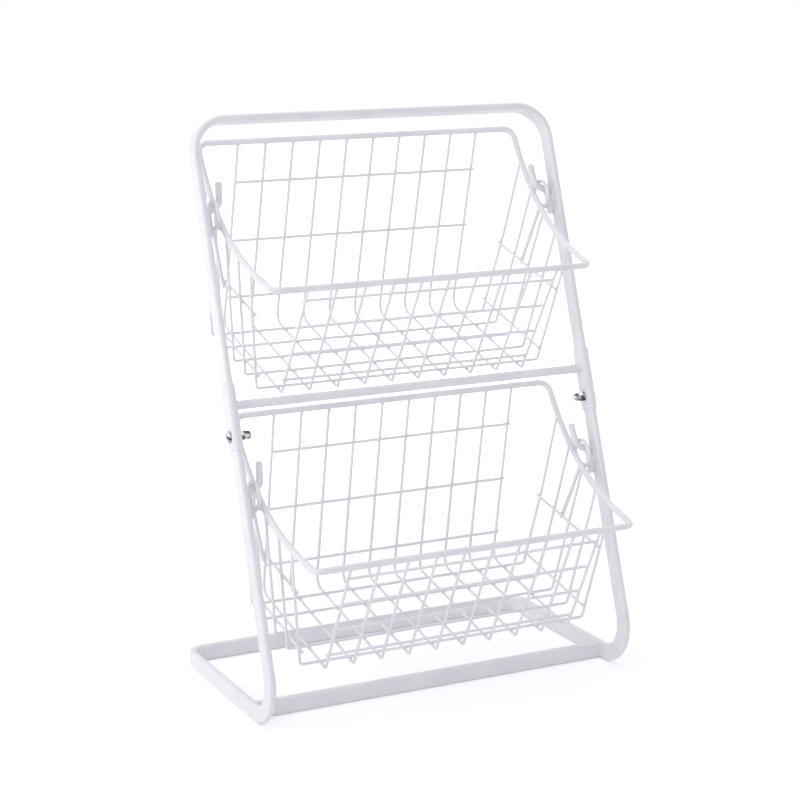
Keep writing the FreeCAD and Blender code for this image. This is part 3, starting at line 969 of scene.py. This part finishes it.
    def _hook(self, eye: EyeSize, up: float, side: Side) -> MeshDraft:
        """Rod up the leg's inner face, bent inward to a shoulder and up again to a round tip.

        Args:
            eye: eye that hangs on the hook.
            up: length up the leg of the hook's shoulder.
            side: leg that it is on.

        Returns:
            The draft.
        """
        stem_x = self.leg_inner - self.hook_rod / 2
        tip_x = eye.across - (eye.wire + self.hook_rod) / 2 * CORNER_REACH - self.hook_tip_gap
        shoulder = (stem_x - tip_x) / math.tan(self.hook_slope) / 2
        flare = (self.hook_tip_rise - shoulder) * math.tan(self.hook_flare)
        corners = [
            (stem_x, -self.hook_stem_drop),
            (stem_x, -shoulder),
            (tip_x, shoulder),
            (tip_x - flare, self.hook_tip_rise),
        ]
        points = [self.on_leg(side.value * x, up + rise, self.hook_behind) for x, rise in corners]
        line = rounded(points, [self.hook_radius] * 2, HOOK_STEP)
        draft = MeshDraft()
        draft.rod(line, self.hook_rod / 2, ACROSS, self.hook_sides, rounding=self.hook_rounding)
        seam_x = side.value * (self.leg_inner - self.hook_seam_inset)
        for way in (-1, 1):
            seam = []
            for index in range(self.hook_seam_steps + 1):
                rise = self.hook_seam_length * index / self.hook_seam_steps - self.hook_seam_drop
                seam.append(self.on_leg(seam_x, up + rise, self.hook_behind + way * self.hook_seam_half))
            self.welds.bead(seam, ACROSS, self.bead)
        return draft


@dataclass
class Basket:
    """One wire basket: rim, U-shaped wires, cross wires, rails, hanger eyes and welds.

    Forward is counted from the back wall, and up from the bottom wires.
    """

    tier: Tier
    finishes: Finishes
    pivot: Vector
    lenses: LensSize = LensSize()
    back_height: float = 0.1715
    depth: float = 0.137
    front_height: float = 0.1095
    front_reach: float = 0.0328
    rim_half: float = 0.1513
    rim_taper: float = 0.0056
    rim_wire: float = 0.0055
    rim_sides: int = 20
    rim_drop: float = math.radians(44.0)
    rim_drop_straight: float = 0.0065
    rim_back_radius: float = 0.0095
    rim_front_radius: float = 0.008
    side_inset: float = 0.0174
    side_slope: float = math.radians(7.9)
    wire: float = 0.0025
    wire_sides: int = 12
    layer: float = 0.00252
    u_count: int = 10
    u_inset: float = 0.0196
    u_back_radius: float = 0.0098
    u_front_radius: float = 0.003
    cross_count: int = 5
    cross_setback: float = 0.023
    cross_end_gap: float = 0.008
    cross_radius: float = 0.003
    cross_ease_above: float = 0.012
    cross_ease_radius: float = 0.060
    back_rails: tuple[float, ...] = (0.036, 0.090, 0.144)
    front_rails: tuple[float, ...] = (0.0153, 0.0441, 0.0729, 0.1017)
    side_rails: tuple[float, ...] = (0.014, 0.070)
    rail_rounding: float = 0.0005
    overhang: float = 0.00125

    def __post_init__(self) -> None:
        """Work out the basket's place and the lines that its sizes lead to."""
        self.eye = self.tier.eye
        middle = self.at(0.0, self.eye.forward, self.eye.up)
        leaning = Matrix.Rotation(self.tier.tilt, 4, "X")
        self.place = Matrix.Translation(self.pivot) @ leaning @ Matrix.Translation(-middle)
        self.bottom_half = self.rim_half - self.side_inset
        self.last_x = self.bottom_half - self.u_inset
        self.rim_forward = self.depth + self.front_reach
        front_length = math.hypot(self.front_reach, self.front_height)
        self.front_unit = (self.front_reach / front_length, self.front_height / front_length)
        self.up_wall = Vector((math.sin(self.side_slope), 0.0, math.cos(self.side_slope)))
        self.inward = Vector((-math.cos(self.side_slope), 0.0, math.sin(self.side_slope)))
        span = self.depth - self.cross_setback - self.cross_end_gap
        pitch = span / (self.cross_count - 1)
        self.cross_forward = [self.cross_setback + pitch * index for index in range(self.cross_count)]
        pitch = 2 * self.last_x / (self.u_count - 1)
        self.u_x = [pitch * index - self.last_x for index in range(self.u_count)]
        self.half_rim = self._half_rim()
        self.welds = MeshDraft()

    @staticmethod
    def at(x: float, forward: float, up: float) -> Vector:
        """Point in the basket's own frame."""
        return Vector((x, -forward, up))

    def side_wall(self, forward: float, up: float) -> Vector:
        """Point in the right-hand side wall, on the axes of the cross wires."""
        return self.at(self.bottom_half + math.tan(self.side_slope) * (up - self.layer), forward, up)

    def front_wall(self, x: float, down: float, inward: float) -> Vector:
        """Point down the front wall from the rim and in from the wires' axes.

        Args:
            x: place across.
            down: length down the wall.
            inward: distance in from the axes.

        Returns:
            The point.
        """
        forward = self.rim_forward - self.front_unit[0] * down - self.front_unit[1] * inward
        up = self.front_height - self.front_unit[1] * down + self.front_unit[0] * inward
        return self.at(x, forward, up)

    def _half_rim(self) -> list[Vector]:
        """Right half of the rim's axis, from the middle of the back to the middle of the front.

        Returns:
            Points along that half.
        """
        fall = self.back_height - self.front_height
        slant = fall / math.sin(self.rim_drop)
        sweep = (slant - self.rim_back_radius - self.rim_drop_straight) / math.tan(self.rim_drop / 2)
        points = [
            self.at(0.0, 0.0, self.back_height),
            self.at(self.rim_half, 0.0, self.back_height),
            self.at(self.rim_half, fall / math.tan(self.rim_drop), self.front_height),
            self.at(self.rim_half - self.rim_taper, self.rim_forward, self.front_height),
            self.at(0.0, self.rim_forward, self.front_height),
        ]
        return rounded(points, [self.rim_back_radius, sweep, self.rim_front_radius], RIM_STEP)

    def rim_side(self, forward: float) -> Vector:
        """Point on the rim's right-hand side at a distance forward of the back wall.

        Args:
            forward: that distance.

        Returns:
            The point on the rim's axis.
        """
        for first, second in zip(self.half_rim, self.half_rim[1:]):
            if -second.y >= forward > -first.y:
                return first.lerp(second, (forward + first.y) / (first.y - second.y))
        return self.half_rim[-1]

    def build(self) -> None:
        """Make every piece of the basket."""
        drafts: dict[str, MeshDraft] = {"rim": self._rim()}
        for index, x in enumerate(self.u_x):
            drafts[f"u_wire_{index + 1:02d}"] = self._u_wire(x)
        for index, forward in enumerate(self.cross_forward):
            drafts[f"cross_wire_{index + 1}"] = self._cross_wire(forward)
        reach = self.last_x + self.overhang
        back = [self.at(-reach, self.layer, self.back_height - drop) for drop in self.back_rails]
        front = [self.front_wall(-reach, drop, self.layer) for drop in self.front_rails]
        drafts["back_rails"] = self._rails([(start, mirrored(start)) for start in back])
        drafts["front_rails"] = self._rails([(start, mirrored(start)) for start in front])
        for side in (Side.RIGHT, Side.LEFT):
            drafts[f"side_rails_{side.label}"] = self._side_rails(side)
            drafts[f"eye_{side.label}"] = self._eye(side)
        for name, draft in drafts.items():
            node = f"{self.tier.value}_{name}"
            piece = draft.moved(self.place).piece(f"{node}.look", self.finishes.coat, WIRE_SHARP)
            fit_out(piece, self.tier.body, Slot.COAT, node)
        welds = self.welds.moved(self.place)
        piece = welds.piece(f"{self.tier.value}_basket_welds", self.finishes.coat, WELD_SHARP)
        fit_out(piece, self.tier.body, Slot.COAT)

    def _rim(self) -> MeshDraft:
        """Closed loop of thick wire.

        Returns:
            The draft.
        """
        loop = self.half_rim + [mirrored(point) for point in reversed(self.half_rim[1:-1])]
        draft = MeshDraft()
        draft.rod(loop, self.rim_wire / 2, UPWARD, self.rim_sides, closed=True)
        return draft

    def _weld(self, centre: Vector, first: Vector, second: Vector, growth: float = 1.0) -> None:
        """Weld lens between two wires that cross along the two directions.

        Args:
            centre: where the wires touch.
            first: direction of one wire.
            second: direction of the other.
            growth: factor on the lens for thicker wires.
        """
        axes = (first, second, first.cross(second).normalized())
        self.welds.lens(centre, axes, tuple(half * growth for half in self.lenses.crossing))

    def _u_wire(self, x: float) -> MeshDraft:
        """Wire down the back, under the bottom and up the front.

        Args:
            x: place across.

        Returns:
            The draft.
        """
        points = [
            self.at(x, 0.0, self.back_height),
            self.at(x, 0.0, 0.0),
            self.at(x, self.depth, 0.0),
            self.at(x, self.rim_forward, self.front_height),
        ]
        draft = MeshDraft()
        line = rounded(points, [self.u_back_radius, self.u_front_radius], WIRE_STEP)
        draft.rod(line, self.wire / 2, ACROSS, self.wire_sides)
        reach = self.rim_wire / 2
        halves = (self.lenses.along_rim, self.lenses.over_rim, self.lenses.below_rim)
        down = (points[2] - points[3]).normalized()
        self.welds.lens(points[0] - UPWARD * reach, (ACROSS, BACKWARD, UPWARD), halves)
        self.welds.lens(points[3] + down * reach, (ACROSS, ACROSS.cross(down), down), halves)
        touch = self.layer / 2
        for forward in self.cross_forward:
            self._weld(self.at(x, forward, touch), ACROSS, BACKWARD)
        for drop in self.back_rails:
            self._weld(self.at(x, touch, self.back_height - drop), ACROSS, UPWARD)
        for drop in self.front_rails:
            self._weld(self.front_wall(x, drop, touch), ACROSS, down)
        return draft

    def _cross_wire(self, forward: float) -> MeshDraft:
        """Wire down one side, across over the bottom wires and up the other side.

        Args:
            forward: distance forward of the back wall.

        Returns:
            The draft.
        """
        half = [
            self.rim_side(forward),
            self.side_wall(forward, self.side_rails[-1] + self.cross_ease_above),
            self.side_wall(forward, self.layer),
        ]
        points = with_partners(half)
        radii = [self.cross_ease_radius, self.cross_radius, self.cross_radius, self.cross_ease_radius]
        draft = MeshDraft()
        draft.rod(rounded(points, radii, WIRE_STEP), self.wire / 2, BACKWARD, self.wire_sides)
        halves = (self.lenses.over_rim, self.lenses.along_rim, self.lenses.below_rim)
        for end, inner in ((points[0], points[1]), (points[-1], points[-2])):
            down = (inner - end).normalized()
            foot = end + down * (self.rim_wire / 2)
            self.welds.lens(foot, (BACKWARD.cross(down), BACKWARD, down), halves)
        for height in self.side_rails:
            centre = self.side_wall(forward, height) + self.inward * (self.layer / 2)
            self._weld(centre, BACKWARD, self.up_wall)
            self._weld(mirrored(centre), BACKWARD, mirrored(self.up_wall))
        return draft

    def _rails(self, ends: Sequence[tuple[Vector, Vector]]) -> MeshDraft:
        """Straight wires with eased ends.

        Args:
            ends: both ends of each wire.

        Returns:
            The draft.
        """
        draft = MeshDraft()
        for start, end in ends:
            line = [start, start.lerp(end, 0.5), end]
            draft.rod(line, self.wire / 2, UPWARD, self.wire_sides, rounding=self.rail_rounding)
        return draft

    def _side_rails(self, side: Side) -> MeshDraft:
        """Straight wires along the inside of a side wall.

        Args:
            side: wall that they are on.

        Returns:
            The draft.
        """
        rails = []
        for height in self.side_rails:
            ends = []
            for forward in (self.cross_forward[0] - self.overhang, self.cross_forward[-1] + self.overhang):
                point = self.side_wall(forward, height) + self.inward * self.layer
                ends.append(point if side is Side.RIGHT else mirrored(point))
            rails.append(tuple(ends))
        return self._rails(rails)

    def _eye(self, side: Side) -> MeshDraft:
        """Hanger eye: a ring outside the rim with a tail down to the upper side rail.

        Args:
            side: wall that it is on.

        Returns:
            The draft.
        """
        eye = self.eye
        centre = self.at(eye.across, eye.forward, eye.up)
        between = (self.cross_forward[1] + self.cross_forward[2]) / 2
        lift = (self.wire + eye.wire * CORNER_REACH) / 2 + (self.layer - self.wire)
        foot = self.side_wall(between, self.side_rails[-1]) + self.inward * (self.layer - lift)
        towards = Vector((0.0, foot.y - centre.y, foot.z - centre.z)).normalized()
        start = centre + towards * eye.radius
        end = foot + (foot - start).normalized() * eye.tail_overhang
        flip = Matrix.Diagonal((side.value, 1.0, 1.0, 1.0))
        ring = ring_at(centre, (UPWARD, BACKWARD), circle(1.0, eye.ring_points), eye.radius)
        ring = [flip @ point for point in ring]
        tail = [flip @ point for point in (start, start.lerp(end, 0.5), end)]
        draft = MeshDraft()
        draft.rod(ring, eye.wire / 2, ACROSS, eye.sides, closed=True)
        draft.rod(tail, eye.wire / 2, ACROSS, eye.sides, rounding=eye.tail_rounding)
        tailward = (end - start).normalized()
        joint = centre + towards * (eye.radius + eye.wire / 2)
        axes = (tailward.cross(ACROSS).normalized(), ACROSS, tailward)
        self.welds.lens(flip @ joint, [flip @ axis for axis in axes], self.lenses.tail_top)
        contact = foot + self.inward * (eye.wire / 2)
        self._weld(flip @ contact, BACKWARD, flip @ tailward, self.lenses.tail_foot_growth)
        self._ring_welds(centre, flip)
        return draft

    def _ring_welds(self, centre: Vector, flip: Matrix) -> None:
        """Welds where the ring lies against the outside of the rim.

        Args:
            centre: middle of the right-hand ring.
            flip: mirror for the left-hand one.
        """
        longest, other_half, through = self.lenses.ring
        for first, second in zip(self.half_rim, self.half_rim[1:]):
            gaps = []
            for point in (first, second):
                gaps.append(math.hypot(point.y - centre.y, point.z - centre.z) - self.eye.radius)
            if gaps[0] * gaps[1] > 0 or abs(first.x) < self.rim_half / 2:
                continue
            crossing = first.lerp(second, gaps[0] / (gaps[0] - gaps[1]))
            along = (second - first).normalized()
            spoke = Vector((0.0, crossing.y - centre.y, crossing.z - centre.z)).normalized()
            outside = Vector((centre.x, crossing.y, crossing.z))
            middle = crossing.lerp(outside, self.lenses.ring_outward)
            axes = (along, ACROSS.cross(along).normalized(), ACROSS)
            stretch = self.lenses.ring_stretch * abs(spoke.dot(along))
            halves = (longest + stretch, other_half, through)
            self.welds.lens(flip @ middle, [flip @ axis for axis in axes], halves)


@dataclass(frozen=True)
class SoftBox:
    """Square studio light that faces the object."""

    name: str
    place: Triple
    size: float
    power: float
    color: Triple


@dataclass
class Studio:
    """Floor, lights, background and camera."""

    shift: float
    floor_half: float = 6.0
    floor_tone: Colour = (0.96, 0.96, 0.965, 1.0)
    glow_near: float = 0.26
    glow_far: float = 1.0
    glow_start: float = 0.35
    glow_end: float = 1.3
    ambient: float = 0.53
    ambient_tone: Colour = (0.92, 0.925, 1.0, 1.0)
    aim: Triple = (0.0, 0.0, 0.25)
    soft_boxes: tuple[SoftBox, ...] = (
        SoftBox("key_left", (-2.3, 0.1, 0.8), 2.2, 23.0, (1.0, 0.995, 0.985)),
        SoftBox("fill_right", (2.2, 0.5, 1.0), 2.2, 7.0, (0.98, 0.985, 1.0)),
        SoftBox("fill_front", (-0.8, -2.3, 0.7), 2.0, 8.0, (0.98, 0.985, 1.0)),
        SoftBox("top", (0.0, 0.3, 2.4), 2.2, 16.0, (0.99, 0.99, 1.0)),
    )
    camera_place: Triple = (-0.72666, -1.39137, 0.59147)
    camera_yaw: float = math.radians(-25.77)
    camera_pitch: float = math.radians(11.86)
    camera_roll: float = math.radians(-0.67)
    camera_clip: Pair = (0.05, 50.0)
    focal_pixels: float = 1976.86
    sensor: float = 36.0

    def build(self) -> None:
        """Set the whole stage."""
        self._floor()
        for box in self.soft_boxes:
            self._light(box)
        self._world()
        self._camera()
        bpy.context.scene.view_settings.view_transform = "Standard"

    @staticmethod
    def _seen_directly(tree: bpy.types.NodeTree) -> bpy.types.NodeSocket:
        """Value that is 1 for rays that show a surface to the eye, straight or by a reflection.

        Args:
            tree: nodes of the floor or the world.

        Returns:
            The value's socket.
        """
        rays = tree.nodes.new("ShaderNodeLightPath")
        value = rays.outputs["Is Camera Ray"]
        for name in ("Is Glossy Ray", "Is Transmission Ray"):
            total = tree.nodes.new("ShaderNodeMath")
            total.operation = "ADD"
            total.use_clamp = True
            value = fed(tree, total, {0: value, 1: rays.outputs[name]}).outputs["Value"]
        return value

    def _floor(self) -> None:
        """Pale floor that keeps the object's shadow near it and turns white further off."""
        mesh = bpy.data.meshes.new("floor")
        half = self.floor_half
        corners = [(-half, -half, 0.0), (half, -half, 0.0), (half, half, 0.0), (-half, half, 0.0)]
        mesh.from_pydata(corners, [], [(0, 1, 2, 3)])
        floor = bpy.data.objects.new("floor", mesh)
        bpy.context.scene.collection.objects.link(floor)
        material = bpy.data.materials.new("pale_floor")
        material.use_nodes = True
        tree = material.node_tree
        nodes = tree.nodes
        nodes.clear()
        diffuse = fed(tree, nodes.new("ShaderNodeBsdfDiffuse"), {"Color": self.floor_tone})
        place = nodes.new("ShaderNodeTexCoord")
        away = nodes.new("ShaderNodeVectorMath")
        away.operation = "LENGTH"
        fed(tree, away, {0: place.outputs["Object"]})
        level = nodes.new("ShaderNodeMapRange")
        level.interpolation_type = "SMOOTHSTEP"
        fed(tree, level, {
            "Value": away.outputs["Value"],
            "From Min": self.glow_start, "From Max": self.glow_end,
            "To Min": self.glow_near, "To Max": self.glow_far,
        })
        strength = nodes.new("ShaderNodeMath")
        strength.operation = "MULTIPLY"
        fed(tree, strength, {0: self._seen_directly(tree), 1: level.outputs["Result"]})
        glow = nodes.new("ShaderNodeEmission")
        fed(tree, glow, {"Color": WHITE, "Strength": strength.outputs["Value"]})
        both = nodes.new("ShaderNodeAddShader")
        fed(tree, both, {0: diffuse.outputs["BSDF"], 1: glow.outputs["Emission"]})
        fed(tree, nodes.new("ShaderNodeOutputMaterial"), {"Surface": both.outputs["Shader"]})
        mesh.materials.append(material)

    def _light(self, box: SoftBox) -> None:
        """Hang one soft box.

        Args:
            box: its place, size and light.
        """
        data = bpy.data.lights.new(box.name, "AREA")
        data.shape = "SQUARE"
        data.size = box.size
        data.energy = box.power
        data.color = box.color
        lamp = bpy.data.objects.new(box.name, data)
        lamp.location = box.place
        lamp.rotation_euler = (Vector(self.aim) - Vector(box.place)).to_track_quat("-Z", "Y").to_euler()
        bpy.context.scene.collection.objects.link(lamp)

    def _world(self) -> None:
        """White background for the eye and for reflections, and a softer, cool light on the object."""
        world = bpy.data.worlds.new("studio")
        bpy.context.scene.world = world
        world.use_nodes = True
        tree = world.node_tree
        nodes = tree.nodes
        nodes.clear()
        shown = fed(tree, nodes.new("ShaderNodeBackground"), {"Color": WHITE})
        ambient = fed(tree, nodes.new("ShaderNodeBackground"), {
            "Color": self.ambient_tone, "Strength": self.ambient,
        })
        both = fed(tree, nodes.new("ShaderNodeMixShader"), {
            "Fac": self._seen_directly(tree),
            1: ambient.outputs["Background"],
            2: shown.outputs["Background"],
        })
        fed(tree, nodes.new("ShaderNodeOutputWorld"), {"Surface": both.outputs["Shader"]})

    def _camera(self) -> None:
        """Camera at the photograph's place, with its lens, tilt and small roll."""
        flat = math.cos(self.camera_pitch)
        yaw = self.camera_yaw
        back = Vector((math.sin(yaw) * flat, -math.cos(yaw) * flat, math.sin(self.camera_pitch)))
        level = Vector((math.cos(yaw), math.sin(yaw), 0.0))
        upright = back.cross(level)
        right = level * math.cos(self.camera_roll) + upright * math.sin(self.camera_roll)
        up = upright * math.cos(self.camera_roll) - level * math.sin(self.camera_roll)
        data = bpy.data.cameras.new("camera")
        data.sensor_fit = "HORIZONTAL"
        data.sensor_width = self.sensor
        data.lens = self.sensor * self.focal_pixels / IMAGE_PIXELS
        data.clip_start, data.clip_end = self.camera_clip
        camera = bpy.data.objects.new("camera", data)
        place = Matrix((right, up, back)).transposed().to_4x4()
        place.translation = Vector(self.camera_place) + Vector((0.0, self.shift, 0.0))
        camera.matrix_world = place
        bpy.context.scene.collection.objects.link(camera)
        bpy.context.scene.camera = camera


def main() -> None:
    """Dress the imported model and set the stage."""
    logging.basicConfig(level=logging.INFO)
    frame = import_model()
    low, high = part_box("base_front_bar")
    shift = (low.y + high.y) / 2 - Stand.front_back
    shop = MaterialShop()
    finishes = Finishes(shop.dressed(CoatFinish()), shop.dressed(PlatedFinish()))
    Stand(finishes, shift).build()
    pivots = {joint["child"]: Vector(joint["pos_m"]) for joint in frame["joints"]}
    for tier in Tier:
        Basket(tier, finishes, pivots[tier.body.value]).build()
    Studio(shift).build()
    bpy.context.view_layer.update()


if __name__ == "__main__":
    main()
